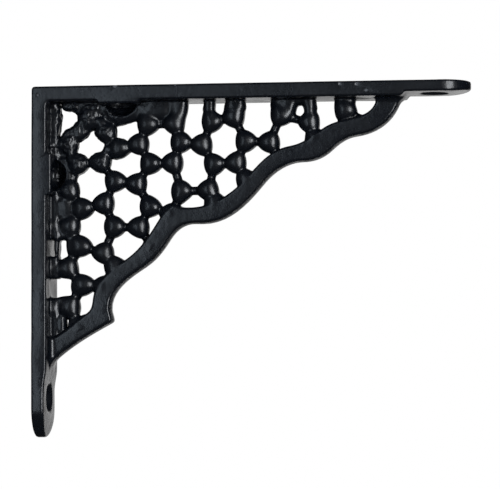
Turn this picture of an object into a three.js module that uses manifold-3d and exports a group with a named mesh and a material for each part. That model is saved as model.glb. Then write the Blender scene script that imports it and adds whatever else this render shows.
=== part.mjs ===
// A cast-iron shelf bracket: a wall leg and a shelf arm cast in one with a pierced web between them.
// The web is a honeycomb of domed beads joined by short necks, closed off by a scalloped bar.
// Millimetres, +Z up, +X out from the wall, Y across the width.
// The origin is the middle of the flat wall face. The forms below are worked out from the foot of the
// wall leg, which is moved down by half the leg's height at the end.

import * as THREE from 'three';
import { mergeVertices } from 'three/addons/utils/BufferGeometryUtils.js';
import Module from 'manifold-3d';

const wasm = await Module();
wasm.setup();

// Legs
const armLength = 150;
const legHeight = 120;
const legWidth = 20;
const wallLegThickness = 5.2;
const armThickness = 5.1;
const wallTabThickness = 4.3;
const armTabThickness = 3.8;
const legCrown = 0.1;
const edgeRadius = 0.6;
const outerCornerRadius = 0.8;
const innerCornerRadius = 1.6;

// Where the scalloped bar lands on the legs, and how long the step down to each thin tab is
const barFootHeight = 25;
const barHeadReach = 127;
const wallTabStep = 8;
const armTabStep = 1.5;
const tabStepGap = 0;
const tipRadius = 1.1;

// Towards its half-round end each tab thins by this much, over this length
const tipThinning = 0.8;
const tipThinningLength = 9;

// Screw holes
const screwHole = 5;
const countersink = 9.9;
const wallTabHoleInset = 13.5;
const armTabHoleInset = 12.5;

// Screw bosses near the corner, each with a pocket sunk in the web
const bossLength = 14.8;
const bossInset = 30;
const wallBossHeight = 1.7;
const armBossHeight = 1.1;
const bossStep = 0.5;
const bossHoleOffset = -3;
const pocketReach = 3.9;
const pocketWall = 2.6;

// Scalloped bar
const barHalfDepth = 4;
const barBevel = 0.7;

// Honeycomb: cells counted in columns from the wall and rows up from the first whole cell below the arm
const columnPitch = 11.6;
const rowPitch = 14;
const rowRise = 0.15;
const firstColumn = 19.45;
const firstRowDrop = 19.45;
const beadRadius = 3.7;
const beadHalfDepth = 3.7;
const neckWidth = 2.8;
const sunkBeadGrowth = 1.12;
const sunkBeadReach = 2.6;
const patchHalfDepth = 3;
const wallRailHeight = 2.6;
const wallRailHalfDepth = 3.2;

// How far the honeycomb runs on under the bar, and the share of a neck that roots in a leg or the bar
const underBar = 3.4;
const rootedNeckShare = 0.8;

// Levels through a bead: depth as a share of its half depth, and the size of its bead and its necks there
const beadLevels = [
  { depth: -1, size: 0.45, neck: 0 },
  { depth: -0.45, size: 0.98, neck: 0.9 },
  { depth: 0.45, size: 0.98, neck: 0.9 },
  { depth: 1, size: 0.45, neck: 0 },
];

// Beads that sit off the regular honeycomb: the corner of which cell, and the shift in X and Z
const strayBeads = [
  { side: 'top', column: -1, row: 0, shift: [3.2, 1.4] },
  { side: 'right', column: -1, row: 0, shift: [2.6, 1.2] },
  { side: 'top', column: -1, row: -1, shift: [-0.7, 0] },
  { side: 'right', column: -1, row: -1, shift: [-1.0, 0.5] },
  { side: 'top', column: -1, row: -2, shift: [-0.3, -1.6] },
  { side: 'right', column: -1, row: -2, shift: [0.5, -0.9] },
  { side: 'top', column: -1, row: -4, shift: [-0.7, -0.3] },
  { side: 'right', column: -1, row: -4, shift: [1.0, 0.7] },
  { side: 'top', column: 0, row: 0, shift: [1.1, -3.0] },
  { side: 'right', column: 0, row: 0, shift: [1.6, -1.5] },
  { side: 'top', column: 0, row: -1, shift: [-0.8, 0.8] },
  { side: 'right', column: 0, row: -1, shift: [0.3, 1.1] },
  { side: 'top', column: 0, row: -3, shift: [0.1, -2.5] },
  { side: 'right', column: 1, row: 0, shift: [0.1, -0.6] },
  { side: 'top', column: 1, row: -1, shift: [0.8, -0.4] },
  { side: 'right', column: 1, row: -1, shift: [1.0, 0] },
  { side: 'right', column: 1, row: -2, shift: [0.9, -0.9] },
  { side: 'top', column: 1, row: -3, shift: [0.8, -0.9] },
  { side: 'right', column: 1, row: -3, shift: [1.8, -1.0] },
  { side: 'right', column: 2, row: 1, shift: [-0.9, 0] },
  { side: 'top', column: 2, row: 0, shift: [1.6, -0.6] },
  { side: 'top', column: 2, row: -1, shift: [1.0, -0.1] },
  { side: 'top', column: 2, row: -2, shift: [0.5, -3.5] },
  { side: 'right', column: 2, row: -1, shift: [0.2, -2.8] },
  { side: 'top', column: 3, row: 0, shift: [1.2, 0] },
  { side: 'right', column: 3, row: 0, shift: [-0.8, -0.2] },
  { side: 'top', column: 3, row: -1, shift: [-0.4, -1.1] },
  { side: 'right', column: 3, row: -1, shift: [0, -0.9] },
  { side: 'top', column: 3, row: -2, shift: [1.8, -2.8] },
  { side: 'right', column: 4, row: 1, shift: [-2.5, 0] },
  { side: 'top', column: 4, row: 0, shift: [-1.0, 1.0] },
  { side: 'right', column: 4, row: 0, shift: [-0.7, -0.3] },
  { side: 'right', column: 4, row: -1, shift: [1.3, -1.0] },
  { side: 'top', column: 5, row: 0, shift: [2.0, 0] },
  { side: 'right', column: 5, row: 0, shift: [-0.2, 1.2] },
  { side: 'top', column: 5, row: -1, shift: [-0.3, -0.9] },
  { side: 'right', column: 6, row: 1, shift: [-1.3, 0] },
  { side: 'top', column: 6, row: 0, shift: [1.9, -1.5] },
  { side: 'top', column: 7, row: 0, shift: [1.0, 0] },
  { side: 'right', column: 7, row: 0, shift: [-1.2, 2.2] },
  { side: 'top', column: 8, row: 0, shift: [0.5, -3.0] },
];

// Cells along the legs that the iron filled in: which cell, the shift from its centre, and half sizes
const filledCells = [
  { column: -1, row: 0, shift: [-0.8, 2.0], halfX: 1.7, halfZ: 4.2 },
  { column: -1, row: 0, shift: [5.2, -2.8], halfX: 3.9, halfZ: 3.0 },
  { column: 0, row: 0, shift: [5.2, -2.2], halfX: 1.8, halfZ: 2.2 },
  { column: 0, row: 1, shift: [-0.8, -1.9], halfX: 5.2, halfZ: 5.2 },
  { column: 2, row: 1, shift: [0.1, -1.3], halfX: 5.2, halfZ: 4.4 },
  { column: -1, row: -1, shift: [4.4, 2.2], halfX: 1.8, halfZ: 1.8 },
  { column: -1, row: -2, shift: [1.6, -1.0], halfX: 4.2, halfZ: 4.6 },
  { column: -1, row: -3, shift: [4.5, 0.2], halfX: 2.1, halfZ: 4.0 },
  { column: -1, row: -3, shift: [1.4, 4.0], halfX: 3.0, halfZ: 2.0 },
  { column: -1, row: -4, shift: [2.1, 5.0], halfX: 3.5, halfZ: 1.9 },
  { column: -1, row: -4, shift: [5.7, 0.2], halfX: 1.6, halfZ: 3.5 },
  { column: 0, row: -4, shift: [5.4, 3.1], halfX: 1.6, halfZ: 2.4 },
  { column: -1, row: -5, shift: [3.0, 0.5], halfX: 3.0, halfZ: 4.6 },
  { column: 4, row: 1, shift: [2.1, -3.0], halfX: 2.8, halfZ: 3.4 },
  { column: 6, row: 1, shift: [-1.4, -2.8], halfX: 2.1, halfZ: 3.2 },
  { column: 6, row: 1, shift: [5.3, -1.8], halfX: 1.9, halfZ: 3.5 },
  { column: 6, row: 1, shift: [2.0, -0.7], halfX: 3.0, halfZ: 2.0 },
  { column: 8, row: 1, shift: [0.7, -0.4], halfX: 4.5, halfZ: 0.9 },
];

// The wavy edges of the scalloped bar. Each point where a wave turns is given by its shares of the way
// out from the wall leg to the bar's head and up from the bar's foot to the arm, and its direction.
const waveHandle = 0.36;
const underWave = [
  [0, 0, 43],
  [0.173, 0.156, 29],
  [0.172, 0.209, 92],
  [0.266, 0.364, 33],
  [0.335, 0.463, 57],
  [0.389, 0.527, 16],
  [0.434, 0.531, 0],
  [0.606, 0.68, 50],
  [0.721, 0.762, 1],
  [0.8, 0.806, 43],
  [0.869, 0.856, 7],
  [0.984, 0.96, 64],
  [1, 1, 50],
];
const innerWave = [
  [0, 0.095, 27],
  [0.107, 0.198, 36],
  [0.121, 0.246, 84],
  [0.212, 0.395, 33],
  [0.316, 0.561, 58],
  [0.343, 0.6, 50],
  [0.384, 0.594, -4],
  [0.565, 0.713, 48],
  [0.684, 0.824, 9],
  [0.779, 0.891, 32],
  [0.852, 0.924, 13],
  [0.918, 0.97, 60],
  [0.927, 1, 80],
];

const ironColour = 0x1b1c1e;

const armUnderside = legHeight - armThickness;
const onBar = ([out, up, degrees]) => [
  wallLegThickness + out * (barHeadReach - wallLegThickness),
  barFootHeight + up * (armUnderside - barFootHeight),
  degrees,
];
const underEdge = underWave.map(onBar);
const innerEdge = innerWave.map(onBar);

// Middles of the two legs' thickness, where everything of the web is rooted
const rootX = wallLegThickness / 2;
const rootZ = legHeight - armThickness / 2;

const halfWidth = legWidth / 2;
const TURN = 2 * Math.PI;

// Facets: points closer than mergeGap become one, and curves are drawn in so many steps
const mergeGap = 1e-3;
const curveSteps = 5;
const cornerSteps = 3;
const stepSteps = 4;
const holeSides = 20;
const stationAngles = [-90, -77, -65, -45, -22, 0, 22, 45, 65, 77, 90];

function solidFrom(geometry) {
  geometry.deleteAttribute('normal');
  geometry.deleteAttribute('uv');
  const merged = mergeVertices(geometry, mergeGap);
  const mesh = new wasm.Mesh({
    numProp: 3,
    vertProperties: new Float32Array(merged.attributes.position.array),
    triVerts: new Uint32Array(merged.index.array),
  });
  return new wasm.Manifold(mesh);
}

function geometryFrom(solid) {
  const mesh = solid.getMesh();
  const geometry = new THREE.BufferGeometry();
  geometry.setAttribute('position', new THREE.BufferAttribute(mesh.vertProperties, 3));
  geometry.setIndex(new THREE.BufferAttribute(mesh.triVerts, 1));
  geometry.computeVertexNormals();
  return geometry;
}

// Joins closed outlines, one for each station across the width, into a surface with both ends closed.
// A side face that isOpen names is left out, where the surface runs on into its neighbour's.
function addLoft(surface, stations, isOpen) {
  const start = surface.positions.length / 3;
  const count = stations[0].outline.length;
  for (const { y, outline } of stations) {
    for (const [x, z] of outline) surface.positions.push(x, y, z);
  }
  for (let s = 0; s + 1 < stations.length; s += 1) {
    for (let k = 0; k < count; k += 1) {
      if (isOpen(s, k)) continue;
      const a = start + s * count + k;
      const b = start + s * count + ((k + 1) % count);
      surface.index.push(a, b, a + count, b, b + count, a + count);
    }
  }
  for (const end of [0, stations.length - 1]) {
    const flat = stations[end].outline.map(([x, z]) => new THREE.Vector2(x, z));
    for (const [a, b, c] of THREE.ShapeUtils.triangulateShape(flat, [])) {
      const corners = end === 0 ? [a, b, c] : [a, c, b];
      surface.index.push(...corners.map((corner) => start + end * count + corner));
    }
  }
}

function solidOfSurface(surface) {
  const geometry = new THREE.BufferGeometry();
  geometry.setAttribute('position', new THREE.Float32BufferAttribute(surface.positions, 3));
  geometry.setIndex(surface.index);
  return solidFrom(geometry);
}

// How far the surface of a leg draws in at a distance y from its middle, for its rounded long edges
function edgeInset(y) {
  const over = Math.max(0, Math.abs(y) - (halfWidth - edgeRadius));
  return edgeRadius - Math.sqrt(Math.max(0, edgeRadius ** 2 - over ** 2));
}

// How far a tab's half-round end stops short of the tip at a distance y from its middle
function tipInset(y) {
  return halfWidth - Math.sqrt(Math.max(0, halfWidth ** 2 - y ** 2));
}

// Thickness of one leg along its run from tip to corner: [distance from the tip, thickness]
function legProfile({ length, tab, full, foot, step, boss }) {
  const stepEnd = foot - tabStepGap;
  const stepStart = stepEnd - step;
  const points = [];
  for (let k = 0; k <= stepSteps; k += 1) {
    const share = k / stepSteps;
    const ease = share * share * (3 - 2 * share);
    points.push([stepStart + share * step, tab + ease * (full - tab)]);
  }
  const bossStart = length - bossInset - bossLength / 2;
  const bossEnd = bossStart + bossLength;
  points.push([bossStart, full], [bossStart + bossStep, full + boss]);
  points.push([bossEnd - bossStep, full + boss], [bossEnd, full]);
  return points;
}

const wallProfile = legProfile({
  length: legHeight,
  tab: wallTabThickness,
  full: wallLegThickness,
  foot: barFootHeight,
  step: wallTabStep,
  boss: wallBossHeight,
});
const armProfile = legProfile({
  length: armLength,
  tab: armTabThickness,
  full: armThickness,
  foot: armLength - barHeadReach,
  step: armTabStep,
  boss: armBossHeight,
});

// Points of a quarter turn about a centre, from one angle to another in degrees
function arcPoints(centre, radius, from, to, steps) {
  const points = [];
  for (let k = 0; k <= steps; k += 1) {
    const angle = THREE.MathUtils.degToRad(from + ((to - from) * k) / steps);
    points.push([centre[0] + radius * Math.cos(angle), centre[1] + radius * Math.sin(angle)]);
  }
  return points;
}

// Side outline of the two legs where a plane at distance y from the middle cuts them
function legsOutline(y) {
  const inset = edgeInset(y);
  const crown = legCrown * (1 - Math.abs(y) / halfWidth) - inset;
  const tip = tipInset(y);
  const chamfer = edgeRadius / 2;
  const thinned = (tab, run) => tab + crown - tipThinning * Math.max(0, 1 - run / tipThinningLength) ** 2;
  const thinningRuns = [0.5, 1].map((share) => {
    return Math.max(share * tipThinningLength, tip + 2 * share * edgeRadius);
  });
  const wallTip = thinned(wallTabThickness, tip);
  const armTip = thinned(armTabThickness, tip);
  const outline = [];
  outline.push([wallTip - chamfer, tip], [inset + chamfer, tip], [inset, tip + chamfer]);
  const outer = [inset + outerCornerRadius, legHeight - inset - outerCornerRadius];
  outline.push(...arcPoints(outer, outerCornerRadius, 180, 90, cornerSteps));
  const top = legHeight - inset;
  outline.push([armLength - tip - tipRadius, top], [armLength - tip - tipRadius / 3, top - tipRadius / 3]);
  outline.push([armLength - tip, top - tipRadius]);
  outline.push([armLength - tip, legHeight - armTip + chamfer]);
  outline.push([armLength - tip - chamfer, legHeight - armTip]);
  for (const run of thinningRuns) {
    outline.push([armLength - run, legHeight - thinned(armTabThickness, run)]);
  }
  for (const [run, thickness] of armProfile) {
    outline.push([armLength - run, legHeight - thickness - crown]);
  }
  const innerX = wallLegThickness + crown + innerCornerRadius;
  const innerZ = legHeight - armThickness - crown - innerCornerRadius;
  outline.push(...arcPoints([innerX, innerZ], innerCornerRadius, 90, 180, cornerSteps));
  for (const [run, thickness] of [...wallProfile].reverse()) {
    outline.push([thickness + crown, run]);
  }
  for (const run of [...thinningRuns].reverse()) {
    outline.push([thinned(wallTabThickness, run), run]);
  }
  outline.push([wallTip, tip + chamfer]);
  return outline;
}

function makeLegs() {
  const stations = stationAngles.map((angle) => {
    const y = halfWidth * Math.sin(THREE.MathUtils.degToRad(angle));
    return { y, outline: legsOutline(y) };
  });
  const surface = { positions: [], index: [] };
  addLoft(surface, stations, () => false);
  return solidOfSurface(surface);
}

// Adds smooth waves through points that each carry a direction
function waveThrough(path, points, reversed) {
  const run = reversed ? [...points].reverse() : points;
  for (let k = 0; k + 1 < run.length; k += 1) {
    const [x0, z0, degrees0] = run[k];
    const [x1, z1, degrees1] = run[k + 1];
    const handle = waveHandle * Math.hypot(x1 - x0, z1 - z0) * (reversed ? -1 : 1);
    const angle0 = THREE.MathUtils.degToRad(degrees0);
    const angle1 = THREE.MathUtils.degToRad(degrees1);
    path.bezierCurveTo(
      x0 + handle * Math.cos(angle0), z0 + handle * Math.sin(angle0),
      x1 - handle * Math.cos(angle1), z1 - handle * Math.sin(angle1),
      x1, z1,
    );
  }
}

// Raises a shape drawn in X and Z to an equal depth on both sides of the middle plane
function raiseAboutMiddle(shape, halfDepth, bevel) {
  const geometry = new THREE.ExtrudeGeometry(shape, {
    depth: 2 * (halfDepth - bevel),
    bevelEnabled: bevel > 0,
    bevelThickness: bevel,
    bevelSize: bevel,
    bevelOffset: -bevel,
    bevelSegments: 1,
    curveSegments: curveSteps,
  });
  geometry.translate(0, 0, -(halfDepth - bevel));
  geometry.rotateX(Math.PI / 2);
  return solidFrom(geometry);
}

// The bar's outline runs on into both legs, so that it grows out of them
function makeScallopedBar() {
  const [footX, footZ] = underEdge[0];
  const [innerHeadX, innerHeadZ] = innerEdge[innerEdge.length - 1];
  const shape = new THREE.Shape();
  shape.moveTo(rootX, footZ);
  shape.lineTo(footX, footZ);
  waveThrough(shape, underEdge, false);
  shape.lineTo(barHeadReach, rootZ);
  shape.lineTo(innerHeadX, rootZ);
  shape.lineTo(innerHeadX, innerHeadZ);
  waveThrough(shape, innerEdge, true);
  shape.lineTo(rootX, innerEdge[0][1]);
  shape.closePath();
  return raiseAboutMiddle(shape, barHalfDepth, barBevel);
}

// The field of the web: from the middles of the two legs to a line that runs within the bar
function makeWebField() {
  const line = underEdge.map(([x, z, degrees]) => {
    const angle = THREE.MathUtils.degToRad(degrees + 90);
    return [x + underBar * Math.cos(angle), z + underBar * Math.sin(angle), degrees];
  });
  const within = line.slice(1, -1);
  const shape = new THREE.Shape();
  shape.moveTo(rootX, line[0][1]);
  shape.lineTo(within[0][0], within[0][1]);
  waveThrough(shape, within, false);
  shape.lineTo(within[within.length - 1][0], rootZ);
  shape.lineTo(rootX, rootZ);
  shape.closePath();
  return { shape, solid: raiseAboutMiddle(shape, barHalfDepth, 0) };
}

// One bead: a domed pebble with a half neck reaching out to the middle of the way to each neighbour.
// Necks to beads that exist stay open at their ends, so that the two halves meet.
function addBead(surface, [x, z], reaches, growth) {
  const arms = reaches.map(({ tip, meets }) => ({
    angle: Math.atan2(tip[1] - z, tip[0] - x),
    tip,
    meets,
  }));
  arms.sort((one, other) => other.angle - one.angle);
  const stations = beadLevels.map(({ depth, size, neck }) => {
    const radius = beadRadius * size * growth;
    const outline = [];
    arms.forEach(({ angle, tip }, k) => {
      const along = [Math.cos(angle), Math.sin(angle)];
      const root = neck === 0 ? [x + radius * along[0], z + radius * along[1]] : tip;
      const half = neck === 0 ? (neckWidth / 2) * size : (neckWidth / 2) * neck;
      outline.push([root[0] - along[1] * half, root[1] + along[0] * half]);
      outline.push([root[0] + along[1] * half, root[1] - along[0] * half]);
      const next = arms[(k + 1) % arms.length].angle;
      const gap = (((angle - next) % TURN) + TURN) % TURN;
      for (const share of [1 / 3, 2 / 3]) {
        const flank = angle - gap * share;
        outline.push([x + radius * Math.cos(flank), z + radius * Math.sin(flank)]);
      }
    });
    return { y: depth * beadHalfDepth, outline };
  });
  const perArm = stations[0].outline.length / arms.length;
  const isOpen = (s, k) => {
    const betweenNecks = beadLevels[s].neck > 0 && beadLevels[s + 1].neck > 0;
    return betweenNecks && k % perArm === 0 && arms[k / perArm].meets;
  };
  addLoft(surface, stations, isOpen);
}

function cellCentre(column, row) {
  const stagger = Math.abs(column % 2) / 2;
  return [
    firstColumn + columnPitch * column,
    legHeight - firstRowDrop + rowPitch * (row + stagger) + rowRise * column,
  ];
}

// Centre of one bead of a honeycomb cell: the one at its right corner, or at its upper right corner
function beadCentre(side, column, row) {
  const [x, z] = cellCentre(column, row);
  const [outX, outZ] = side === 'right' ? [(columnPitch * 2) / 3, 0] : [columnPitch / 3, rowPitch / 2];
  const stray = strayBeads.find((bead) => bead.side === side && bead.column === column && bead.row === row);
  const [shiftX, shiftZ] = stray ? stray.shift : [0, 0];
  return [x + outX + shiftX, z + outZ + shiftZ];
}

function makeHoneycomb(field) {
  const fieldPoints = field.shape.getPoints(curveSteps);
  const inField = ([x, z]) => {
    let inside = false;
    for (let k = 0, j = fieldPoints.length - 1; k < fieldPoints.length; j = k, k += 1) {
      const a = fieldPoints[k];
      const b = fieldPoints[j];
      const crosses = (a.y > z) !== (b.y > z);
      if (crosses && x < a.x + ((z - a.y) * (b.x - a.x)) / (b.y - a.y)) inside = !inside;
    }
    return inside;
  };
  const surface = { positions: [], index: [] };
  const placeBead = (centre, mates) => {
    if (!inField(centre)) return;
    const reaches = mates.map((mate) => {
      const meets = inField(mate);
      const share = meets ? 0.5 : rootedNeckShare;
      const tip = [centre[0] + (mate[0] - centre[0]) * share, centre[1] + (mate[1] - centre[1]) * share];
      return { tip, meets };
    });
    const sunkInWallLeg = centre[0] < wallLegThickness + sunkBeadReach;
    const sunkInArm = centre[1] > armUnderside - sunkBeadReach;
    addBead(surface, centre, reaches, sunkInWallLeg || sunkInArm ? sunkBeadGrowth : 1);
  };
  const lastColumn = Math.ceil(armLength / columnPitch);
  const rowsDown = Math.ceil(legHeight / rowPitch);
  for (let column = -2; column <= lastColumn; column += 1) {
    const drop = column % 2 === 0 ? 1 : 0;
    for (let row = -rowsDown; row <= 1; row += 1) {
      placeBead(beadCentre('right', column, row), [
        beadCentre('top', column, row),
        beadCentre('top', column, row - 1),
        beadCentre('top', column + 1, row - drop),
      ]);
      placeBead(beadCentre('top', column, row), [
        beadCentre('right', column, row),
        beadCentre('right', column, row + 1),
        beadCentre('right', column - 1, row + 1 - drop),
      ]);
    }
  }
  return solidOfSurface(surface).intersect(field.solid);
}

// A round body about the Z axis from a radius and a height for each step of its profile
function turned(profile) {
  const points = profile.map(([radius, height]) => new THREE.Vector2(radius, height));
  const geometry = new THREE.LatheGeometry(points, holeSides);
  geometry.rotateX(Math.PI / 2);
  return solidFrom(geometry);
}

// A countersunk hole whose rim lies at height 0 and whose axis is Z
function screwCutter(depth) {
  const sink = (countersink - screwHole) / 2;
  const slack = 0.5;
  const profile = [
    [0, -depth],
    [screwHole / 2, -depth],
    [screwHole / 2, -sink],
    [countersink / 2, 0],
    [countersink / 2 + slack, slack],
    [0, slack],
  ];
  return turned(profile);
}

// A plain oval patch of the web
function makePatch([x, z], halfX, halfZ) {
  const shape = new THREE.Shape();
  shape.absellipse(x, z, halfX, halfZ, 0, TURN);
  return raiseAboutMiddle(shape, patchHalfDepth, 0);
}

function makeFilledCells() {
  return filledCells.map(({ column, row, shift, halfX, halfZ }) => {
    const [x, z] = cellCentre(column, row);
    return makePatch([x + shift[0], z + shift[1]], halfX, halfZ);
  });
}

// A low rail where the honeycomb grows out of the wall leg
function makeWallRail() {
  const front = wallLegThickness + wallRailHeight;
  const foot = innerEdge[0][1];
  const geometry = new THREE.BoxGeometry(front - rootX, 2 * wallRailHalfDepth, rootZ - foot);
  geometry.translate((front + rootX) / 2, 0, (rootZ + foot) / 2);
  return solidFrom(geometry);
}

// The hollow that a screw head and its driver need beside the web
function makePocket() {
  const geometry = new THREE.SphereGeometry(1, holeSides, holeSides / 2);
  geometry.scale(countersink / 2, countersink / 2, pocketReach);
  return solidFrom(geometry);
}

const wallFace = wallLegThickness + wallBossHeight;
const armFace = armUnderside - armBossHeight;
const toWall = (solid) => solid.rotate([0, 90, 0]);
const toArm = (solid) => solid.rotate([180, 0, 0]);

function makeBracket() {
  const field = makeWebField();
  const wallBoss = [wallFace, 0, legHeight - bossInset];
  const armBoss = [bossInset, 0, armFace];
  const collarReach = pocketReach + pocketWall;
  const collarHalf = (bossLength + pocketWall) / 2;
  const web = wasm.Manifold.union([
    makeHoneycomb(field),
    makeWallRail(),
    makePatch([wallFace, wallBoss[2]], collarReach, collarHalf),
    makePatch([armBoss[0], armFace], collarHalf, collarReach),
    ...makeFilledCells(),
  ]).intersect(field.solid);
  const body = wasm.Manifold.union([makeLegs(), makeScallopedBar(), web]);
  const through = 2 * (legHeight - armFace);
  const wallTabHole = [wallTabThickness + legCrown, 0, wallTabHoleInset];
  const armTabHole = [armLength - armTabHoleInset, 0, legHeight - armTabThickness - legCrown];
  const aside = [0, bossHoleOffset, 0];
  const cutter = screwCutter(through);
  const pocket = makePocket();
  const cuts = [
    toWall(cutter).translate(wallTabHole),
    toArm(cutter).translate(armTabHole),
    toWall(wasm.Manifold.union([cutter, pocket])).translate(wallBoss).translate(aside),
    toArm(wasm.Manifold.union([cutter, pocket])).translate(armBoss).translate(aside),
  ];
  return body.subtract(wasm.Manifold.union(cuts));
}

const iron = new THREE.MeshStandardMaterial({ color: ironColour, roughness: 0.45, metalness: 0.2 });
const casting = new THREE.Mesh(geometryFrom(makeBracket()), iron);
casting.name = 'bracket_casting';
casting.position.z = -legHeight / 2;

const bracket = new THREE.Group();
bracket.name = 'shelf_bracket';
bracket.add(casting);

export default bracket;
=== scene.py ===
"""Cast-iron shelf bracket: the finished casting, its paint, and a plain studio to see it in.

Lengths inside the shape functions are millimetres, with X out from the wall, Y across the width and
Z up from the foot of the wall leg.
"""

import math

import bpy
import numpy as np
from mathutils import Matrix, Vector


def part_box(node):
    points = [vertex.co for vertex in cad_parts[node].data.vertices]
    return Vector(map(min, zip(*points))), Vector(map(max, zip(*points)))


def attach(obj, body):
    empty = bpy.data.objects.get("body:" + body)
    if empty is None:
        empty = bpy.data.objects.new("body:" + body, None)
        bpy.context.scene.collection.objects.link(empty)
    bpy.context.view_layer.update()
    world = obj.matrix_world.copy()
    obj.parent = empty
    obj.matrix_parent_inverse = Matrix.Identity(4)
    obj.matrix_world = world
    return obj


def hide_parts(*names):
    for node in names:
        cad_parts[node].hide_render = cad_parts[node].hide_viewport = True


bl_info = {
    "name": "Cast-iron shelf bracket",
    "version": (1, 0, 0),
    "blender": (4, 5, 0),
    "location": "3D View > Sidebar > Bracket",
    "description": "Builds a pierced cast-iron shelf bracket and a studio for it",
    "category": "Add Mesh",
}

NODE = "bracket_casting"
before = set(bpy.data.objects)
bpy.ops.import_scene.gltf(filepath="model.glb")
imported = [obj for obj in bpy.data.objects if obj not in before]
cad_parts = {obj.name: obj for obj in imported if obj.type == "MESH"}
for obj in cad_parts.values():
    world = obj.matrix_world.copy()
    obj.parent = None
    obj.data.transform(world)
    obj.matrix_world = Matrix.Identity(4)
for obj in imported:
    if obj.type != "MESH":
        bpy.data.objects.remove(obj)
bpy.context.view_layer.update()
LOWEST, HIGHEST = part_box(NODE)
METRE = 1000.0


def hex_to_linear(text):
    """Linear red, green and blue of an sRGB colour: v/12.92 below 0.04045, else ((v+0.055)/1.055)^2.4."""
    values = [int(text[k : k + 2], 16) / 255 for k in (1, 3, 5)]
    return [v / 12.92 if v <= 0.04045 else ((v + 0.055) / 1.055) ** 2.4 for v in values]


def length(name, default, description):
    """A length property in metres, given in millimetres."""
    return bpy.props.FloatProperty(
        name=name, description=description, default=default / METRE, unit="LENGTH", precision=5
    )


class LegSizes(bpy.types.PropertyGroup):
    """Sizes of the wall leg and the shelf arm"""

    arm_length: length("Arm length", HIGHEST.x * METRE, "Reach of the arm from the wall")
    leg_height: length("Leg height", (HIGHEST.z - LOWEST.z) * METRE, "Height of the wall leg")
    width: length("Width", (HIGHEST.y - LOWEST.y) * METRE, "Width of both legs")
    wall_thickness: length("Wall leg thickness", 5.2, "Thickness of the wall leg above its tab")
    arm_thickness: length("Arm thickness", 5.1, "Thickness of the arm up to its tab")
    wall_tab: length("Wall tab thickness", 4.3, "Thickness of the wall leg at its lower end")
    arm_tab: length("Arm tab thickness", 3.8, "Thickness of the arm at its tip")
    crown: length("Crown", 0.1, "How much thicker a leg is along its middle than at its edges")
    edge_radius: length("Edge radius", 0.7, "Rounding of the legs' long edges")
    bar_foot: length("Bar foot", 25.0, "Height at which the scalloped bar meets the wall leg")
    bar_head: length("Bar head", 127.0, "Reach at which the scalloped bar meets the arm")


class WebSizes(bpy.types.PropertyGroup):
    """Sizes of the pierced web"""

    bar_half_depth: length("Bar half depth", 4.0, "Half the depth of the scalloped bar")
    column_pitch: length("Column pitch", 11.6, "Distance between columns of honeycomb cells")
    row_pitch: length("Row pitch", 14.0, "Distance between rows of honeycomb cells")
    bead_radius: length("Bead radius", 4.0, "Radius of a bead seen from the side")
    bead_half_depth: length("Bead half depth", 4.1, "Half the depth of a bead")
    neck_width: length("Neck width", 2.7, "Width of the neck between two beads")


class HoleSizes(bpy.types.PropertyGroup):
    """Sizes of the screw holes and their bosses"""

    bore: length("Bore", 5.0, "Diameter of a screw hole")
    countersink: length("Countersink", 9.9, "Diameter of the countersink at the face")
    wall_tab_inset: length("Wall tab hole", 13.5, "Height of the lowest hole above the foot")
    arm_tab_inset: length("Arm tab hole", 12.5, "Distance of the outermost hole from the tip")
    boss_inset: length("Boss inset", 30.0, "Distance of the inner holes from the corner")
    boss_length: length("Boss length", 14.8, "Length of a raised boss along its leg")
    wall_boss: length("Wall boss height", 1.7, "Height of the boss on the wall leg")
    arm_boss: length("Arm boss height", 1.1, "Height of the boss on the arm")
    boss_offset: length("Boss hole offset", -3.0, "How far the inner holes sit to one side of the web")
    pocket_reach: length("Pocket reach", 3.9, "How far a pocket reaches into the web")


class Finish(bpy.types.PropertyGroup):
    """Paint of the casting and tone of the studio"""

    paint: bpy.props.FloatVectorProperty(
        name="Paint", description="Black paint", subtype="COLOR", size=3, default=hex_to_linear("#06090f")
    )
    bare_iron: bpy.props.FloatVectorProperty(
        name="Bare iron", description="Iron where the paint is knocked off", subtype="COLOR", size=3,
        default=hex_to_linear("#3f4247"),
    )
    floor: bpy.props.FloatVectorProperty(
        name="Floor", description="Studio floor", subtype="COLOR", size=3, default=hex_to_linear("#f2f2f2")
    )
    grain: length("Grain", 0.9, "Distance between the pits that sand leaves in the cast skin")
    mesh_pitch: length("Mesh pitch", 0.35, "Spacing of the points that the casting is worked out on")


# Edges of the scalloped bar. Each point where a wave turns has its shares of the way out to the bar's
# head and up to the arm, and its direction in degrees.
UNDER_WAVE = [
    (0, 0, 43),
    (0.173, 0.156, 29),
    (0.172, 0.209, 92),
    (0.266, 0.364, 33),
    (0.335, 0.463, 57),
    (0.389, 0.527, 16),
    (0.434, 0.531, 0),
    (0.606, 0.68, 50),
    (0.721, 0.762, 1),
    (0.8, 0.806, 43),
    (0.869, 0.856, 7),
    (0.984, 0.96, 64),
    (1, 1, 50),
]
INNER_WAVE = [
    (0, 0.095, 27),
    (0.107, 0.198, 36),
    (0.121, 0.246, 84),
    (0.212, 0.395, 33),
    (0.316, 0.561, 58),
    (0.343, 0.6, 50),
    (0.384, 0.594, -4),
    (0.565, 0.713, 48),
    (0.684, 0.824, 9),
    (0.779, 0.891, 32),
    (0.852, 0.924, 13),
    (0.918, 0.97, 60),
    (0.927, 1, 80),
]

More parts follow.
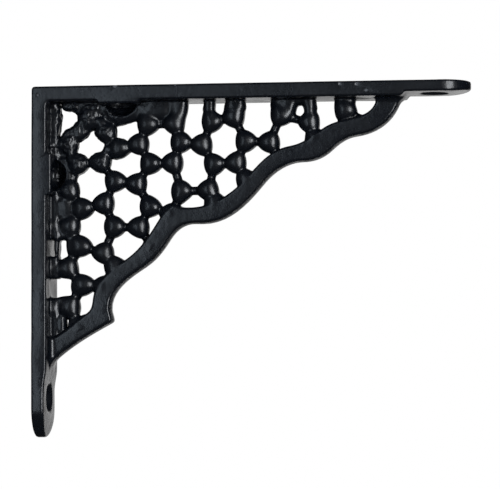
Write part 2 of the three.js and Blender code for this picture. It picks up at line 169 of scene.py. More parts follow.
# Beads off the regular honeycomb: (corner, column, row) and the shift in X and Z
STRAY_BEADS = {
    ("top", -1, 0): (3.2, 1.4),
    ("right", -1, 0): (2.6, 1.2),
    ("top", -1, -1): (-0.7, 0),
    ("right", -1, -1): (-1.0, 0.5),
    ("top", -1, -2): (-0.3, -1.6),
    ("right", -1, -2): (0.5, -0.9),
    ("top", -1, -4): (-0.7, -0.3),
    ("right", -1, -4): (1.0, 0.7),
    ("top", 0, 0): (1.1, -3.0),
    ("right", 0, 0): (1.6, -1.5),
    ("top", 0, -1): (-0.8, 0.8),
    ("right", 0, -1): (0.3, 1.1),
    ("top", 0, -2): (0.3, 0.5),
    ("right", 0, -2): (0.1, -0.5),
    ("top", 0, -3): (0.1, -2.5),
    ("right", 1, 0): (0.1, -0.6),
    ("top", 1, -1): (0.8, -0.4),
    ("right", 1, -1): (1.0, 0),
    ("right", 1, -2): (0.9, -0.9),
    ("top", 1, -3): (0.8, -0.9),
    ("right", 1, -3): (1.8, -1.0),
    ("top", 2, 0): (1.6, -0.6),
    ("top", 2, -1): (1.0, -0.1),
    ("right", 2, -1): (0.2, -2.8),
    ("top", 2, -2): (0.5, -3.5),
    ("right", 3, 0): (-0.8, -0.2),
    ("top", 3, -1): (-0.4, -1.1),
    ("right", 3, -1): (0, -0.9),
    ("top", 3, -2): (1.8, -2.8),
    ("top", 4, 0): (-1.0, 1.0),
    ("right", 4, 0): (-0.7, -0.3),
    ("top", 4, -1): (-0.3, -0.6),
    ("right", 4, -1): (-0.5, 0.5),
    ("right", 5, 0): (-0.2, 1.2),
    ("top", 5, -1): (-0.3, -0.9),
    ("top", 6, 0): (1.9, -1.5),
    ("right", 7, 0): (-1.2, 2.2),
    ("top", 8, 0): (0.5, -3.0),
}

# Cells that the iron partly filled: column, row, shift of the patch from the cell's centre, half sizes
FILLED_CELLS = [
    (-1, 0, (-0.8, 2.0), (1.7, 4.2)),
    (-1, 0, (5.0, -3.6), (3.9, 2.4)),
    (-1, 0, (7.6, -1.9), (3.2, 3.2)),
    (-1, 0, (4.9, 6.6), (4.0, 2.2)),
    (0, 0, (5.4, -2.2), (1.6, 2.2)),
    (0, 1, (-0.6, -1.8), (5.2, 5.2)),
    (0, 1, (3.3, -6.5), (2.0, 1.6)),
    (2, 1, (0.3, -1.6), (5.2, 5.0)),
    (-1, -1, (4.7, 2.2), (1.8, 1.8)),
    (-1, -2, (1.8, -1.0), (4.2, 4.6)),
    (-1, -3, (4.7, 0.2), (2.1, 4.0)),
    (-1, -3, (1.6, 4.2), (3.0, 2.0)),
    (-1, -3, (-0.5, 0.6), (0.9, 5.5)),
    (-1, -4, (2.4, 5.0), (3.5, 1.9)),
    (-1, -4, (2.3, -4.6), (3.5, 1.6)),
    (-1, -4, (5.8, 0.2), (1.5, 3.5)),
    (0, -4, (3.2, 3.9), (1.6, 2.4)),
    (0, -4, (-2.2, -3.8), (1.8, 1.4)),
    (-1, -5, (3.9, -4.6), (4.4, 2.4)),
    (-1, -5, (1.2, 1.2), (1.6, 4.4)),
    (-1, -5, (5.4, 0.6), (1.9, 4.4)),
    (3, -2, (-4.4, 1.2), (1.6, 1.6)),
    (4, 1, (2.3, -3.0), (2.8, 3.4)),
    (6, 1, (-1.2, -2.8), (2.1, 3.2)),
    (6, 1, (5.5, -1.8), (1.9, 3.5)),
    (6, 1, (2.2, -0.7), (3.0, 2.0)),
    (8, 1, (0.8, -0.4), (4.5, 0.9)),
]

# Where the beads below the arm run up into it: how far out from the wall, and half the width
ROOTS = [
    (28.0, 4.0),
    (38.5, 4.2),
    (49.6, 3.4),
    (60.4, 2.0),
    (69.7, 3.1),
    (86.1, 4.4),
    (95.2, 1.9),
    (107.0, 3.5),
]

# How far the middle of a root lies below the arm, and half its height
ROOT_DROP, ROOT_HALF_HEIGHT = 1, 7.0

# Bead centres nearer to the arm than this have a root in their place
LEAST_DROP = 2.6

# Where the rail along the wall leg is whole: height of the middle of each stretch, and half its length
RAILS = [(94.0, 26.2), (58.0, 3.6), (35.4, 12.0)]

# Height of the rail above its leg, half its depth and the rounding of its edges
RAIL_HEIGHT, RAIL_HALF_DEPTH, RAIL_ROUNDING = 2.6, 3.2, 0.9

# Centre of the first honeycomb cell, out from the wall and down from the top, and how much a row rises
# from one column to the next
FIRST_CELL = (19.45, 19.45)
ROW_RISE = 0.15

# Outline of a bead in bead radii: its reach in every direction, its reach towards the three holes beside
# it, and the power that blends the two
BEAD_CORNER, BEAD_SIDE, BEAD_POWER = 1.18, 1.13, 2.6

# Half the depth of a bead's straight side wall, and how far from its centre a bead is worked out, in radii
BEAD_WALL, BEAD_WINDOW = 1.8, 2.2

# Beads this near the middle of the wall leg are sunk in it, and are larger by the factor
SUNK_REACH, SUNK_GROWTH = 5, 1.1

# How much beads (in radii) and the bar (in mm) draw in for each mm of depth, and the depth where both
# have their own outline
BEAD_DRAFT, BAR_DRAFT, DRAFT_LEVEL = 0.028, 0.11, 1

# Half the depth of a neck, and how far it runs past the middle between two beads
NECK_DEPTH, NECK_OVERLAP = 1.9, 0.6

# Half the depth of a patch, and the power that squares its rim
PATCH_DEPTH, PATCH_POWER = 3.2, 3

# How far the patch behind a boss goes past the boss along the leg, and past the pocket into the web
COLLAR = (1.3, 2.6)

# How far inside the bar's lower edge the web ends, and which points of that line are kept
WEB_INSET, WEB_POINTS = 3.2, slice(1, -6)

# Length of a wave's handles as a share of the distance between its turning points
WAVE_HANDLE = 0.36

# Rounding of the legs' outer corner and of the bar's edges, and width of the slope round a boss
CORNER_ROUNDING, BAR_ROUNDING, BOSS_SLOPE = 1.2, 0.7, 0.7

# How much thinner a leg is at its tip, and how far from the tip that begins
TIP_THINNING, TIP_REACH = 0.8, 9

# Widths over which forms melt into each other, or over which the rim of a cut is softened
MELTS = {
    "legs": 2.2,
    "bar": 2.4,
    "web": 0.5,
    "bead": 0.5,
    "neck": 0.3,
    "patch": 1.2,
    "rail": 1.0,
    "pocket": 0.6,
    "hole": 0.5,
    "chip": 0.3,
}

# Unevenness of the cast skin: height, pitch and seed of each layer of random heights
WAVES = [(0.04, 9.0, 1), (0.01, 3.0, 2)]
LUMPS = [(0.2, 1.7, 3), (0.22, 0.8, 4)]
DENTS = [(0.1, 2.6, 5)]

# Distances over which unevenness sets in: from the side faces, the wall, the top and the bar's outline
SIDE_FADE, WALL_FADE, TOP_FADE, BAR_FADE = (0.5, 3), (3.5, 6), (4, 6), (0, 1)

# Distances from the corner over which the lumps fade out
LUMP_FADE = (22, 46)

# Radii of a chip over which bare iron turns to paint
CHIP_FADE = (0.9, 1.3)

MOST_TRIANGLES = 190000

# Moves that bring the mesh onto the surface, and the least squared slope that they divide by
SETTLING_MOVES, LEAST_SLOPE = 2, 0.2

# Camera: azimuth, elevation and roll in degrees, metres to its target, and focal length in millimetres
AZIMUTH, ELEVATION, ROLL, DISTANCE, LENS = 8.5, -3.2, 0.125, 1.15, 242.7
TARGET = (0.07418, 0, 0.00364)

# Knocks along the near edges: place and radius of each chip
CHIPS = [
    ((29.2, -10.0, 119.7), 0.7),
    ((2.4, -10.0, 117.0), 0.4),
    ((106.5, -10.0, 118.9), 0.4),
    ((112.3, -10.0, 118.8), 0.5),
    ((115.3, -10.0, 116.7), 0.35),
    ((50.0, -10.0, 119.8), 0.4),
]


def millimetres(group):
    """The lengths of a property group in millimetres, by name."""
    return {name: getattr(group, name) * METRE for name in group.__annotations__}


def melt(a, b, width):
    """Least of two distances, less (width - |a - b|)^2 / 4 width where they are closer than width,
    which fills the corner between two forms with a fillet."""
    near = np.clip(width - np.abs(a - b), 0, None)
    return np.minimum(a, b) - near * near / (4 * width)


def carve(body, tool, width):
    """Takes the tool's form out of the body and softens the rim, by the same rule turned inside out."""
    return -melt(-body, tool, width)


def plate(outline, through, radius):
    """Distance to a plate from the distance to its outline and the distance through its thickness:
    both grow by the radius, join as the sides of a right angle, and shrink by it again."""
    a = outline + radius
    b = through + radius
    return np.minimum(np.maximum(a, b), 0) + np.hypot(np.maximum(a, 0), np.maximum(b, 0)) - radius


def ease(low, high, value):
    """0 below low, 1 above high, and 3t^2 - 2t^3 between."""
    t = np.clip((value - low) / (high - low), 0, 1)
    return t * t * (3 - 2 * t)


def leg_thickness(run, leg):
    """Thickness along a leg from its tip: the tab, a smooth step to full thickness, and the boss."""
    end = leg["foot"] - leg["gap"]
    full = leg["tab"] + (leg["full"] - leg["tab"]) * ease(end - leg["step"], end, run)
    middle = leg["length"] - leg["boss_inset"]
    half = leg["boss_length"] / 2
    return full + leg["boss"] * (1 - ease(half - BOSS_SLOPE, half, np.abs(run - middle)))


def wave_points(wave, foot, head, steps=10):
    """Points of a wavy edge: between two turning points a cubic whose handles lie along their
    directions."""
    ends = np.array([[foot[k] + w[k] * (head[k] - foot[k]) for k in (0, 1)] for w in wave])
    turn = np.radians([w[2] for w in wave])
    heading = np.stack([np.cos(turn), np.sin(turn)], -1)
    a, b = ends[:-1, None], ends[1:, None]
    handle = WAVE_HANDLE * np.linalg.norm(b - a, axis=-1, keepdims=True)
    p = a + handle * heading[:-1, None]
    q = b - handle * heading[1:, None]
    t = (np.arange(steps) / steps)[None, :, None]
    points = a * (1 - t) ** 3 + 3 * p * t * (1 - t) ** 2 + 3 * q * t * t * (1 - t) + b * t**3
    return np.concatenate([points.reshape(-1, 2), ends[-1:]])


def outline_distance(points, x, z):
    """Signed distance from every x and z to a closed outline: the least distance to its sides, negative
    where a ray to the right crosses an odd number of them."""
    least = np.full(np.broadcast(x, z).shape, 1e9, np.float32)
    inside = np.zeros(least.shape, bool)
    for (ax, az), (bx, bz) in zip(points, np.roll(points, -1, axis=0)):
        dx, dz = bx - ax, bz - az
        size = dx * dx + dz * dz
        if size < 1e-9:
            continue
        t = np.clip(((x - ax) * dx + (z - az) * dz) / size, 0, 1)
        least = np.minimum(least, (x - ax - t * dx) ** 2 + (z - az - t * dz) ** 2)
        if dz:
            inside ^= ((az > z) != (bz > z)) & (x < ax + (z - az) * dx / dz)
    return np.where(inside, -1, 1) * np.sqrt(least)


def random_heights(points, pitch, seed):
    """Smooth random heights from -1 to 1: one height for each corner of cubes of the given pitch, taken
    from a random table that repeats, and blended across the cube by 3t^2 - 2t^3."""
    repeat = 32
    table = np.random.RandomState(seed).uniform(-1, 1, (repeat, repeat, repeat)).astype(np.float32)
    place = points / pitch
    corner = np.floor(place).astype(int)
    t = place - corner
    t = t * t * (3 - 2 * t)
    total = np.zeros(len(points), np.float32)
    for step in np.ndindex(2, 2, 2):
        weight = np.prod(np.where(step, t, 1 - t), axis=1)
        total += weight * table[tuple(((corner + step) % repeat).T)]
    return total


def unevenness(points, layers):
    """Sum of layers of random heights."""
    return sum(height * random_heights(points, pitch, seed) for height, pitch, seed in layers)


class Casting:
    """Distances to the surface of the casting on a regular block of points, negative inside the iron."""

    def __init__(self, legs, web, holes, pitch):
        self.legs, self.web, self.holes = legs, web, holes
        margin = 3 * pitch
        reach = (legs["arm_length"], legs["width"] / 2, legs["leg_height"])
        lowest = (0, -legs["width"] / 2, 0)
        self.axes = [
            np.arange(low - margin, high + margin, pitch, dtype=np.float32)
            for low, high in zip(lowest, reach)
        ]
        self.x = self.axes[0][:, None, None]
        self.y = self.axes[1][None, :, None]
        self.z = self.axes[2][None, None, :]
        self.under_arm = legs["leg_height"] - legs["arm_thickness"]
        foot = (legs["wall_thickness"], legs["bar_foot"])
        head = (legs["bar_head"], self.under_arm)
        self.under = wave_points(UNDER_WAVE, foot, head)
        self.inner = wave_points(INNER_WAVE, foot, head)
        self.root = (legs["wall_thickness"] / 2, legs["leg_height"] - legs["arm_thickness"] / 2)
        along = np.gradient(self.under, axis=0)
        along /= np.linalg.norm(along, axis=1)[:, None]
        within = (self.under + WEB_INSET * along[:, ::-1] * (-1, 1))[WEB_POINTS]
        self.web_outline = np.array([
            (self.root[0], within[0][1]),
            *within,
            (within[-1][0], self.root[1]),
            self.root,
        ])

    def make_legs(self):
        """Both legs as one plate: an L in X and Z with a fillet in its corner, carried across the width to
        two half-round tips and rounded along its edges. Its inner face is a low dome, higher by the crown
        along the middle than at the rim: crown times r(2 - r), r being the share of the way in. Each tip
        is thinner, by the square of the share of the last stretch."""
        legs, holes = self.legs, self.holes
        half = legs["width"] / 2
        wall = {
            "length": legs["leg_height"],
            "tab": legs["wall_tab"],
            "full": legs["wall_thickness"],
            "foot": legs["bar_foot"],
            "gap": 1,
            "step": 8,
            "boss": holes["wall_boss"],
        }
        arm = {
            "length": legs["arm_length"],
            "tab": legs["arm_tab"],
            "full": legs["arm_thickness"],
            "foot": legs["arm_length"] - legs["bar_head"],
            "gap": 0,
            "step": 1.5,
            "boss": holes["arm_boss"],
        }
        for leg in (wall, arm):
            leg |= {key: holes[key] for key in ("boss_inset", "boss_length")}
        across = np.abs(self.y)
        run = legs["arm_length"] - self.x
        down = legs["leg_height"] - self.z
        outline = np.where(self.z < half, np.hypot(across, self.z - half) - half, across - half)
        outline = np.maximum(outline, np.where(run < half, np.hypot(across, run - half) - half, -half))
        share = np.clip(-outline / half, 0, 1)
        crown = legs["crown"] * share * (2 - share)
        thin = TIP_THINNING * np.clip(1 - np.minimum(self.z, run) / TIP_REACH, 0, 1) ** 2
        wall_face = self.x - leg_thickness(self.z, wall)
        arm_face = down - leg_thickness(run, arm)
        inner = melt(wall_face, arm_face, MELTS["legs"]) - crown + thin
        section = np.maximum(plate(-self.x, -down, CORNER_ROUNDING), inner)
        return plate(outline, section, legs["edge_radius"])

    def make_bar(self):
        """The scalloped bar: its outline carried through the depth, narrower towards its faces by the draft
        that lets the pattern leave the sand."""
        points = [(self.root[0], self.under[0][1]), *self.under]
        points += [(self.under[-1][0], self.root[1]), (self.inner[-1][0], self.root[1])]
        points += [*self.inner[::-1], (self.root[0], self.inner[0][1])]
        self.bar_outline = np.array(points)
        outline = outline_distance(self.bar_outline, self.x[:, 0], self.z[0])[:, None, :]
        depth = np.abs(self.y)
        drafted = outline + BAR_DRAFT * (depth - DRAFT_LEVEL)
        return plate(drafted, depth - self.web["bar_half_depth"], BAR_ROUNDING)

    def cell_centre(self, column, row):
        """Centre of a honeycomb cell: odd columns stand half a row higher, and rows rise outwards."""
        stagger = abs(column % 2) / 2
        x = FIRST_CELL[0] + self.web["column_pitch"] * column
        z = self.legs["leg_height"] - FIRST_CELL[1] + self.web["row_pitch"] * (row + stagger)
        return x, z + ROW_RISE * column

    def bead_centre(self, side, column, row):
        """Centre of the bead at a cell's right corner, or at its upper right corner."""
        x, z = self.cell_centre(column, row)
        out = (self.web["column_pitch"] * 2 / 3, 0)
        if side == "top":
            out = (self.web["column_pitch"] / 3, self.web["row_pitch"] / 2)
        stray = STRAY_BEADS.get((side, column, row), (0, 0))
        return np.array([x + out[0] + stray[0], z + out[1] + stray[1]])

    def beads(self):
        """Each bead inside the web with the centres of its three neighbours."""
        columns = int(self.legs["arm_length"] / self.web["column_pitch"]) + 1
        rows = int(self.legs["leg_height"] / self.web["row_pitch"]) + 1
        found = []
        for column in range(-2, columns):
            drop = 1 - column % 2
            for row in range(-rows, 2):
                mates = [("top", column, row), ("top", column, row - 1), ("top", column + 1, row - drop)]
                found.append((("right", column, row), mates))
                mates = [("right", column, row), ("right", column, row + 1)]
                found.append((("top", column, row), [*mates, ("right", column - 1, row + 1 - drop)]))
        centres = np.array([self.bead_centre(*bead) for bead, _ in found])
        inside = outline_distance(self.web_outline, centres[:, 0], centres[:, 1]) < 0
        inside &= centres[:, 1] < self.under_arm - LEAST_DROP
        return [
            (centre, [self.bead_centre(*mate) for mate in mates])
            for centre, kept, (_, mates) in zip(centres, inside, found)
            if kept
        ]

    def window(self, centre, reach):
        """The part of the block within a reach of a centre in X and Z."""
        return tuple(
            slice(*np.searchsorted(self.axes[axis], (c - reach, c + reach)))
            for axis, c in zip((0, 2), centre)
        )

    def add_bead(self, web, centre, mates):
        """One pebble and half a neck towards each neighbour. The pebble's share of the way out to its rim
        is the p-th root of the sum of p-th powers of the distance towards each of the three holes beside
        it over its side reach, and of the radius over its corner reach. The draft adds to the share with
        the depth. The side wall is straight, and past it comes a dome: the sum of squares of the share
        and of the depth past the wall over the dome's height is 1. A neck is an oval bar about the line
        between two centres."""
        sizes = self.web
        part_x, part_z = self.window(centre, BEAD_WINDOW * sizes["bead_radius"])
        x = self.x[part_x] - centre[0]
        z = self.z[..., part_z] - centre[1]
        depth = np.abs(self.y)
        sunk = centre[0] < self.root[0] + SUNK_REACH
        radius = sizes["bead_radius"] * (SUNK_GROWTH if sunk else 1)
        ways = sorted((mate - centre for mate in mates), key=lambda way: math.atan2(way[1], way[0]))
        angles = np.array([math.atan2(way[1], way[0]) for way in ways])
        gaps = np.roll(angles, -1) - angles + (0, 0, 2 * math.pi)
        level = (np.hypot(x, z) / (BEAD_CORNER * radius)) ** BEAD_POWER
        for facing in angles + gaps / 2:
            side = x * math.cos(facing) + z * math.sin(facing)
            level = level + (np.clip(side, 0, None) / (BEAD_SIDE * radius)) ** BEAD_POWER
        dome = np.clip(depth - BEAD_WALL, 0, None) / (sizes["bead_half_depth"] - BEAD_WALL)
        share = level ** (1 / BEAD_POWER) + BEAD_DRAFT * (depth - DRAFT_LEVEL)
        bead = (np.hypot(share, dome) - 1) * radius
        neck_half = sizes["neck_width"] / 2
        for way in ways:
            distance = np.hypot(*way)
            way = way / distance
            t = np.clip(x * way[0] + z * way[1], 0, distance / 2 + NECK_OVERLAP)
            off = np.hypot(x - t * way[0], z - t * way[1])
            neck = (np.hypot(off / neck_half, depth / NECK_DEPTH) - 1) * neck_half
            bead = melt(bead, neck, MELTS["neck"])
        region = (part_x, slice(None), part_z)
        web[region] = melt(web[region], bead, MELTS["bead"])

    def add_patch(self, web, centre, half):
        """An oval patch of the web, where the sum of p-th powers of its radius and its depth is 1."""
        oval = np.hypot((self.x - centre[0]) / half[0], (self.z - centre[1]) / half[1])
        depth = np.abs(self.y) / PATCH_DEPTH
        patch = ((oval**PATCH_POWER + depth**PATCH_POWER) ** (1 / PATCH_POWER) - 1) * min(half)
        np.copyto(web, melt(web, patch, MELTS["patch"]))

    def make_web(self):
        """Beads and necks, the cells that filled in, the roots below the arm, the patches behind the
        bosses and the rail along the wall leg, all kept inside the web's outline."""
        web = np.full([len(axis) for axis in self.axes], 1e3, np.float32)
        for centre, mates in self.beads():
            self.add_bead(web, centre, mates)
        for column, row, shift, half in FILLED_CELLS:
            self.add_patch(web, np.add(self.cell_centre(column, row), shift), half)
        for out, half in ROOTS:
            self.add_patch(web, (out, self.under_arm - ROOT_DROP), (half, ROOT_HALF_HEIGHT))
        wall_boss, arm_boss = self.boss_faces()
        inset = self.holes["boss_inset"]
        collar = (self.holes["boss_length"] / 2 + COLLAR[0], self.holes["pocket_reach"] + COLLAR[1])
        self.add_patch(web, (wall_boss, self.legs["leg_height"] - inset), collar[::-1])
        self.add_patch(web, (inset, arm_boss), collar)
        stretches = np.min([np.abs(self.z - middle) - half for middle, half in RAILS], axis=0)
        rail = np.maximum(self.x - self.legs["wall_thickness"] - RAIL_HEIGHT, stretches)
        rail = plate(rail, np.abs(self.y) - RAIL_HALF_DEPTH, RAIL_ROUNDING)
        web = melt(web, rail, MELTS["rail"])
        outline = outline_distance(self.web_outline, self.x[:, 0], self.z[0])[:, None, :]
        return np.maximum(web, outline)

    def boss_faces(self):
        """Where the faces of the two bosses lie: out from the wall, and up from the foot."""
        wall = self.legs["wall_thickness"] + self.holes["wall_boss"]
        return wall, self.under_arm - self.holes["arm_boss"]

    def cut_screw_hole(self, body, height, across, pocket):
        """A bore, a cone that opens at 45 degrees to the countersink's rim at height 0, and for a boss
        an ovoid pocket about the middle of the rim."""
        bore = self.holes["bore"] / 2
        rim = self.holes["countersink"] / 2
        above = 0.5
        cone = (across - rim - height) * math.sqrt(0.5)
        tool = np.maximum(np.minimum(across - bore, cone), height - above)
        if pocket:
            reach = self.holes["pocket_reach"]
            ovoid = (np.hypot(height / reach, across / rim) - 1) * reach
            tool = melt(tool, ovoid, MELTS["pocket"])
        return carve(body, tool, MELTS["hole"])

    def cut_holes(self, body):
        """The four screw holes: one in each tab, and one in each boss."""
        legs, holes = self.legs, self.holes
        wall_boss, arm_boss = self.boss_faces()
        wall_tab = legs["wall_tab"] + legs["crown"]
        arm_tab = legs["leg_height"] - legs["arm_tab"] - legs["crown"]
        wall_holes = [
            (wall_tab, 0, holes["wall_tab_inset"]),
            (wall_boss, holes["boss_offset"], legs["leg_height"] - holes["boss_inset"]),
        ]
        arm_holes = [
            (arm_tab, 0, legs["arm_length"] - holes["arm_tab_inset"]),
            (arm_boss, holes["boss_offset"], holes["boss_inset"]),
        ]
        for face, y, z in wall_holes:
            body = self.cut_screw_hole(body, self.x - face, np.hypot(self.y - y, self.z - z), y != 0)
        for face, y, x in arm_holes:
            body = self.cut_screw_hole(body, face - self.z, np.hypot(self.y - y, self.x - x), y != 0)
        return body

    def cut_chips(self, body):
        """A shallow round dent for each chip."""
        for (cx, cy, cz), radius in CHIPS:
            ball = np.sqrt((self.x - cx) ** 2 + (self.y - cy) ** 2 + (self.z - cz) ** 2) - radius
            body = carve(body, ball, MELTS["chip"])
        return body

    def distances(self):
        """The whole casting: legs, bar and web melted together, then holes and chips cut."""
        body = melt(self.make_legs(), self.make_bar(), MELTS["bar"])
        body = melt(body, self.make_web(), MELTS["web"])
        return self.cut_chips(self.cut_holes(body))


def surface_of(field, axes, pitch):
    """Mesh where a field of distances is 0: one point in each cube that the surface crosses, the mean of
    its crossings on the cube's twelve edges, and one face round each edge that it crosses."""
    inside = field < 0
    size = np.array(field.shape) - 1
    count = sum(inside[a : a + size[0], b : b + size[1], c : c + size[2]].astype(np.int8)
                for a, b, c in np.ndindex(2, 2, 2))
    cubes = np.argwhere((count > 0) & (count < 8))
    number = np.full(size, -1, np.int32)
    number[tuple(cubes.T)] = np.arange(len(cubes))
    corners = {step: field[tuple((cubes + step).T)] for step in np.ndindex(2, 2, 2)}
    total = np.zeros((len(cubes), 3))
    crossings = np.zeros(len(cubes))
    for axis in range(3):
        for step in np.ndindex(2, 2, 2):
            if step[axis]:
                continue
            far = tuple(s + (k == axis) for k, s in enumerate(step))
            a, b = corners[step], corners[far]
            crosses = (a < 0) != (b < 0)
            t = np.where(crosses, a / np.where(crosses, a - b, 1), 0)
            place = np.repeat(np.array(step, float)[None], len(cubes), 0)
            place[:, axis] = t
            total += place * crosses[:, None]
            crossings += crosses
    points = (cubes + total / crossings[:, None]) * pitch + [axis[0] for axis in axes]
    faces = []
    for axis in range(3):
        u, v = (axis + 1) % 3, (axis + 2) % 3
        here = [slice(1, -1)] * 3
        ahead = [slice(1, -1)] * 3
        here[axis], ahead[axis] = slice(0, -1), slice(1, None)
        here, ahead = inside[tuple(here)], inside[tuple(ahead)]
        for leaving in (True, False):
            edges = np.argwhere((here != ahead) & (here == leaving))
            edges[:, [u, v]] += 1
            ring = []
            for du, dv in ((1, 1), (0, 1), (0, 0), (1, 0)):
                cube = edges.copy()
                cube[:, u] -= du
                cube[:, v] -= dv
                ring.append(number[tuple(cube.T)])
            faces.append(np.stack(ring if leaving else ring[::-1], 1))
    return points, np.concatenate(faces)


def sample(field, axes, pitch, points):
    """Value of the field and its slope at each point, blended between the eight nearest grid points."""
    place = (points - [axis[0] for axis in axes]) / pitch
    corner = np.clip(np.floor(place).astype(int), 0, np.array(field.shape) - 2)
    t = place - corner
    value = np.zeros(len(points))
    slope = np.zeros((len(points), 3))
    for step in np.ndindex(2, 2, 2):
        near = field[tuple((corner + step).T)]
        parts = np.where(step, t, 1 - t)
        value += near * parts.prod(axis=1)
        for axis in range(3):
            others = parts[:, [k for k in range(3) if k != axis]].prod(axis=1)
            slope[:, axis] += near * others * (1 if step[axis] else -1)
    return value, slope / pitch


def new_object(name, points, faces):
    """A smooth-shaded mesh object in the scene, from points and faces that all have as many corners."""
    mesh = bpy.data.meshes.new(name)
    mesh.vertices.add(len(points))
    mesh.vertices.foreach_set("co", points.astype(np.float32).ravel())
    mesh.loops.add(faces.size)
    mesh.loops.foreach_set("vertex_index", faces.astype(np.int32).ravel())
    mesh.polygons.add(len(faces))
    mesh.polygons.foreach_set("loop_start", np.arange(0, faces.size, faces.shape[1], dtype=np.int32))
    mesh.polygons.foreach_set("use_smooth", np.ones(len(faces), bool))
    mesh.update(calc_edges=True)
    mesh.validate()
    made = bpy.data.objects.new(name, mesh)
    bpy.context.scene.collection.objects.link(made)
    return made


def node(tree, kind, settings=(), **inputs):
    """Adds a node with its settings, and sets or links each named input."""
    made = tree.nodes.new(kind)
    for key, value in dict(settings).items():
        setattr(made, key, value)
    for key, value in inputs.items():
        socket = made.inputs[int(key[1:]) if key[1:].isdigit() else key.replace("_", " ")]
        if isinstance(value, bpy.types.NodeSocket):
            tree.links.new(value, socket)
        else:
            socket.default_value = value
    return made


def painted_cast_iron(finish):
    """Sand-cast grey iron under thin semi-gloss black paint: nearly black seen straight on, clear soft
    reflections at a slant, a fine orange-peel skin over coarser sand pits, and grey iron at knocks."""
    material = bpy.data.materials.new("painted_sand_cast_iron")
    material.use_nodes = True
    tree = material.node_tree
    tree.nodes.clear()
    place = node(tree, "ShaderNodeTexCoord").outputs["Object"]
    grain = finish.grain
    sand = node(tree, "ShaderNodeTexNoise", Vector=place, Scale=0.5 / grain, Detail=3.0, Roughness=0.6)
    skin = node(tree, "ShaderNodeTexNoise", Vector=place, Scale=2.0 / grain, Detail=2.0, Roughness=0.5)
    cloud = node(tree, "ShaderNodeTexNoise", Vector=place, Scale=60.0, Detail=4.0, Roughness=0.55)
    coarse = node(tree, "ShaderNodeBump", Strength=0.35, Distance=0.00025, Height=sand.outputs["Fac"])
    fine = node(tree, "ShaderNodeBump", Strength=0.25, Distance=0.00006, Height=skin.outputs["Fac"],
                Normal=coarse.outputs["Normal"])
    sheen = node(tree, "ShaderNodeMapRange", Value=cloud.outputs["Fac"], From_Min=0.3, From_Max=0.7,
                 To_Min=0.22, To_Max=0.34)
    knocked = node(tree, "ShaderNodeAttribute", {"attribute_name": "knocked"}).outputs["Fac"]
    colour = node(tree, "ShaderNodeMix", {"data_type": "RGBA"}, Factor=knocked, _6=(*finish.paint, 1),
                  _7=(*finish.bare_iron, 1))
    shader = node(tree, "ShaderNodeBsdfPrincipled", Base_Color=colour.outputs[2],
                  Roughness=sheen.outputs["Result"], Normal=fine.outputs["Normal"], IOR=1.5)
    output = node(tree, "ShaderNodeOutputMaterial")
    tree.links.new(shader.outputs["BSDF"], output.inputs["Surface"])
    return material


class BRACKET_OT_casting(bpy.types.Operator):
    """Build the casting: both legs, the pierced web and the scalloped bar in one piece"""

    bl_idname = "bracket.casting"
    bl_label = "Casting"

    def execute(self, context):
        scene = context.scene
        legs, web = millimetres(scene.bracket_legs), millimetres(scene.bracket_web)
        holes = millimetres(scene.bracket_holes)
        pitch = scene.bracket_finish.mesh_pitch * METRE * 1
        casting = Casting(legs, web, holes, pitch)
        field = casting.distances()
        points, faces = surface_of(field, casting.axes, pitch)
        for _ in range(SETTLING_MOVES):
            value, slope = sample(field, casting.axes, pitch, points)
            step = value / np.maximum((slope**2).sum(1), LEAST_SLOPE)
            points = points - np.clip(step, -pitch / 2, pitch / 2)[:, None] * slope
        slope /= np.linalg.norm(slope, axis=1)[:, None]
        corner = np.hypot(points[:, 0], legs["leg_height"] - points[:, 2])
        inner = ease(*SIDE_FADE, legs["width"] / 2 - np.abs(points[:, 1]))
        inner *= ease(*WALL_FADE, points[:, 0]) * ease(*TOP_FADE, legs["leg_height"] - points[:, 2])
        rough = (1 - ease(*LUMP_FADE, corner)) * inner
        waves, lumps = unevenness(points, WAVES), unevenness(points, LUMPS)
        dents = unevenness(points, DENTS)
        dents *= ease(*BAR_FADE, outline_distance(casting.bar_outline, points[:, 0], points[:, 2]))
        points = points + (waves + inner * dents + rough * lumps)[:, None] * slope
        size = [legs["arm_length"], legs["width"] / 2, legs["leg_height"]]
        points = np.clip(points, [0, -size[1], 0], size)
        knocked = np.zeros(len(points))
        for place, radius in CHIPS:
            away = np.linalg.norm(points - place, axis=1)
            iron, paint = CHIP_FADE
            knocked = np.maximum(knocked, 1 - ease(radius * iron, radius * paint, away))
        points[:, 2] += LOWEST.z * METRE
        piece = new_object("shelf_bracket_casting", points / METRE, faces)
        attribute = piece.data.attributes.new("knocked", "FLOAT", "POINT")
        attribute.data.foreach_set("value", knocked.astype(np.float32))
        triangles = 2 * len(faces)
        if triangles > MOST_TRIANGLES:
            thin = piece.modifiers.new("thin_flat_faces", "DECIMATE")
            thin.ratio = MOST_TRIANGLES / triangles
        piece.data.materials.append(painted_cast_iron(scene.bracket_finish))
        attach(piece, "root")
        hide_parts(NODE)
        return {"FINISHED"}


def aim(thing, place, target, roll=0.0):
    """Puts a lamp or camera at a place, looking at a target and rolled about its line of sight."""
    back = (Vector(place) - Vector(target)).normalized()
    right = Vector((0, 0, 1)).cross(back).normalized()
    up = back.cross(right)
    turned = right * math.cos(roll) - up * math.sin(roll)
    frame_axes = Matrix((turned, back.cross(turned), back)).transposed().to_4x4()
    thing.matrix_world = Matrix.Translation(place) @ frame_axes


def add_lamp(name, place, target, size, watts, colour):
    """A rectangular soft lamp at a place, facing a target."""
    lamp = bpy.data.lights.new(name, "AREA")
    lamp.color = colour
    lamp.shape = "RECTANGLE"
    lamp.size, lamp.size_y = size
    lamp.energy = watts
    made = bpy.data.objects.new(name, lamp)
    bpy.context.scene.collection.objects.link(made)
    aim(made, place, target)


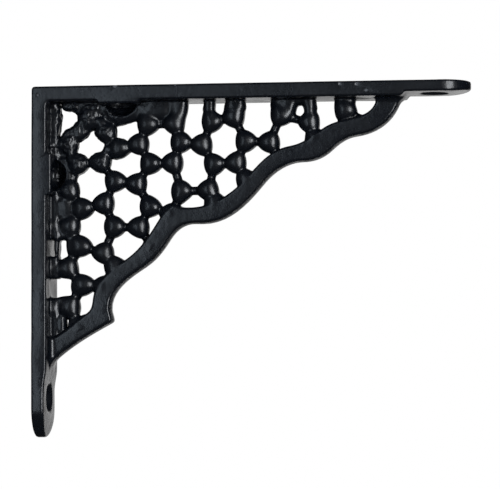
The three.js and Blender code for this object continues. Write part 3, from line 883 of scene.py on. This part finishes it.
class BRACKET_OT_studio(bpy.types.Operator):
    """Build the pale floor, the soft lamps and the camera"""

    bl_idname = "bracket.studio"
    bl_label = "Studio"

    def execute(self, context):
        scene = context.scene
        side, level = 8.0, -0.2
        corners = np.array([
            [-side, -side, level],
            [side, -side, level],
            [side, side, level],
            [-side, side, level],
        ])
        floor = new_object("studio_floor", corners, np.array([[0, 1, 2, 3]]))
        material = bpy.data.materials.new("matt_floor_paint")
        material.use_nodes = True
        shader = material.node_tree.nodes["Principled BSDF"]
        shader.inputs["Base Color"].default_value = (*scene.bracket_finish.floor, 1)
        shader.inputs["Roughness"].default_value = 1.0
        shader.inputs["Specular IOR Level"].default_value = 0.0
        floor.data.materials.append(material)
        floor.visible_glossy = False

        world = bpy.data.worlds.new("studio")
        scene.world = world
        world.use_nodes = True
        tree = world.node_tree
        tree.nodes.clear()
        way = node(tree, "ShaderNodeTexCoord").outputs["Generated"]
        split = node(tree, "ShaderNodeSeparateXYZ", Vector=way).outputs
        smooth = {"interpolation_type": "SMOOTHSTEP"}
        aside = node(tree, "ShaderNodeMapRange", smooth, Value=split["X"], From_Min=0.25, From_Max=0.35,
                     To_Min=1.0, To_Max=0.1).outputs["Result"]
        back = node(tree, "ShaderNodeMapRange", smooth, Value=split["Y"], From_Min=0.91, From_Max=0.975,
                    To_Min=0.02, To_Max=aside).outputs["Result"]
        front = node(tree, "ShaderNodeMapRange", smooth, Value=split["Y"], From_Min=-0.6, From_Max=-0.97,
                     To_Min=0.02, To_Max=0.05).outputs["Result"]
        mirrored = node(tree, "ShaderNodeMath", {"operation": "MAXIMUM"}, _0=front, _1=back).outputs[0]
        rays = node(tree, "ShaderNodeLightPath").outputs
        walls = node(tree, "ShaderNodeMix", Factor=rays["Is Diffuse Ray"], A=mirrored, B=1.25).outputs[0]
        strength = node(tree, "ShaderNodeMix", Factor=rays["Is Camera Ray"], A=walls, B=1.0).outputs[0]
        background = node(tree, "ShaderNodeBackground", Color=(1, 1, 1, 1), Strength=strength)
        output = node(tree, "ShaderNodeOutputWorld")
        tree.links.new(background.outputs[0], output.inputs["Surface"])

        middle = (0.06, 0, 0.02)
        add_lamp("right_softbox", (0.8, -0.9, 0.1), middle, (0.4, 0.9), 12, (0.93, 0.96, 1.0))
        add_lamp("left_softbox", (-0.38, -1.15, 0.1), middle, (0.3, 0.9), 1.9, (0.76, 0.88, 1.0))

        data = bpy.data.cameras.new("camera")
        data.sensor_width = 36.0
        data.lens = LENS
        data.clip_start, data.clip_end = 0.05, 50
        camera = bpy.data.objects.new("camera", data)
        scene.collection.objects.link(camera)
        azimuth, elevation = math.radians(AZIMUTH), math.radians(ELEVATION)
        target = Vector(TARGET)
        back = Vector((
            math.sin(azimuth) * math.cos(elevation),
            -math.cos(azimuth) * math.cos(elevation),
            math.sin(elevation),
        ))
        aim(camera, target + DISTANCE * back, target, math.radians(ROLL))
        scene.camera = camera
        scene.view_settings.view_transform = "Standard"
        return {"FINISHED"}


class BRACKET_PT_panel(bpy.types.Panel):
    """Lists the steps that build the bracket"""

    bl_label = "Shelf bracket"
    bl_idname = "BRACKET_PT_panel"
    bl_space_type = "VIEW_3D"
    bl_region_type = "UI"
    bl_category = "Bracket"

    def draw(self, context):
        layout = self.layout
        for name in GROUPS:
            group = getattr(context.scene, name)
            box = layout.box()
            for key in group.__annotations__:
                box.prop(group, key)
        for operator in OPERATORS:
            layout.operator(operator.bl_idname)


GROUPS = {
    "bracket_legs": LegSizes,
    "bracket_web": WebSizes,
    "bracket_holes": HoleSizes,
    "bracket_finish": Finish,
}
OPERATORS = [BRACKET_OT_casting, BRACKET_OT_studio]


def register():
    for made in (*GROUPS.values(), *OPERATORS, BRACKET_PT_panel):
        bpy.utils.register_class(made)
    for name, group in GROUPS.items():
        setattr(bpy.types.Scene, name, bpy.props.PointerProperty(type=group))


def unregister():
    for name in GROUPS:
        delattr(bpy.types.Scene, name)
    for made in (BRACKET_PT_panel, *OPERATORS[::-1], *reversed(GROUPS.values())):
        bpy.utils.unregister_class(made)


def main():
    register()
    bpy.ops.bracket.casting()
    bpy.ops.bracket.studio()


if __name__ == "__main__":
    main()
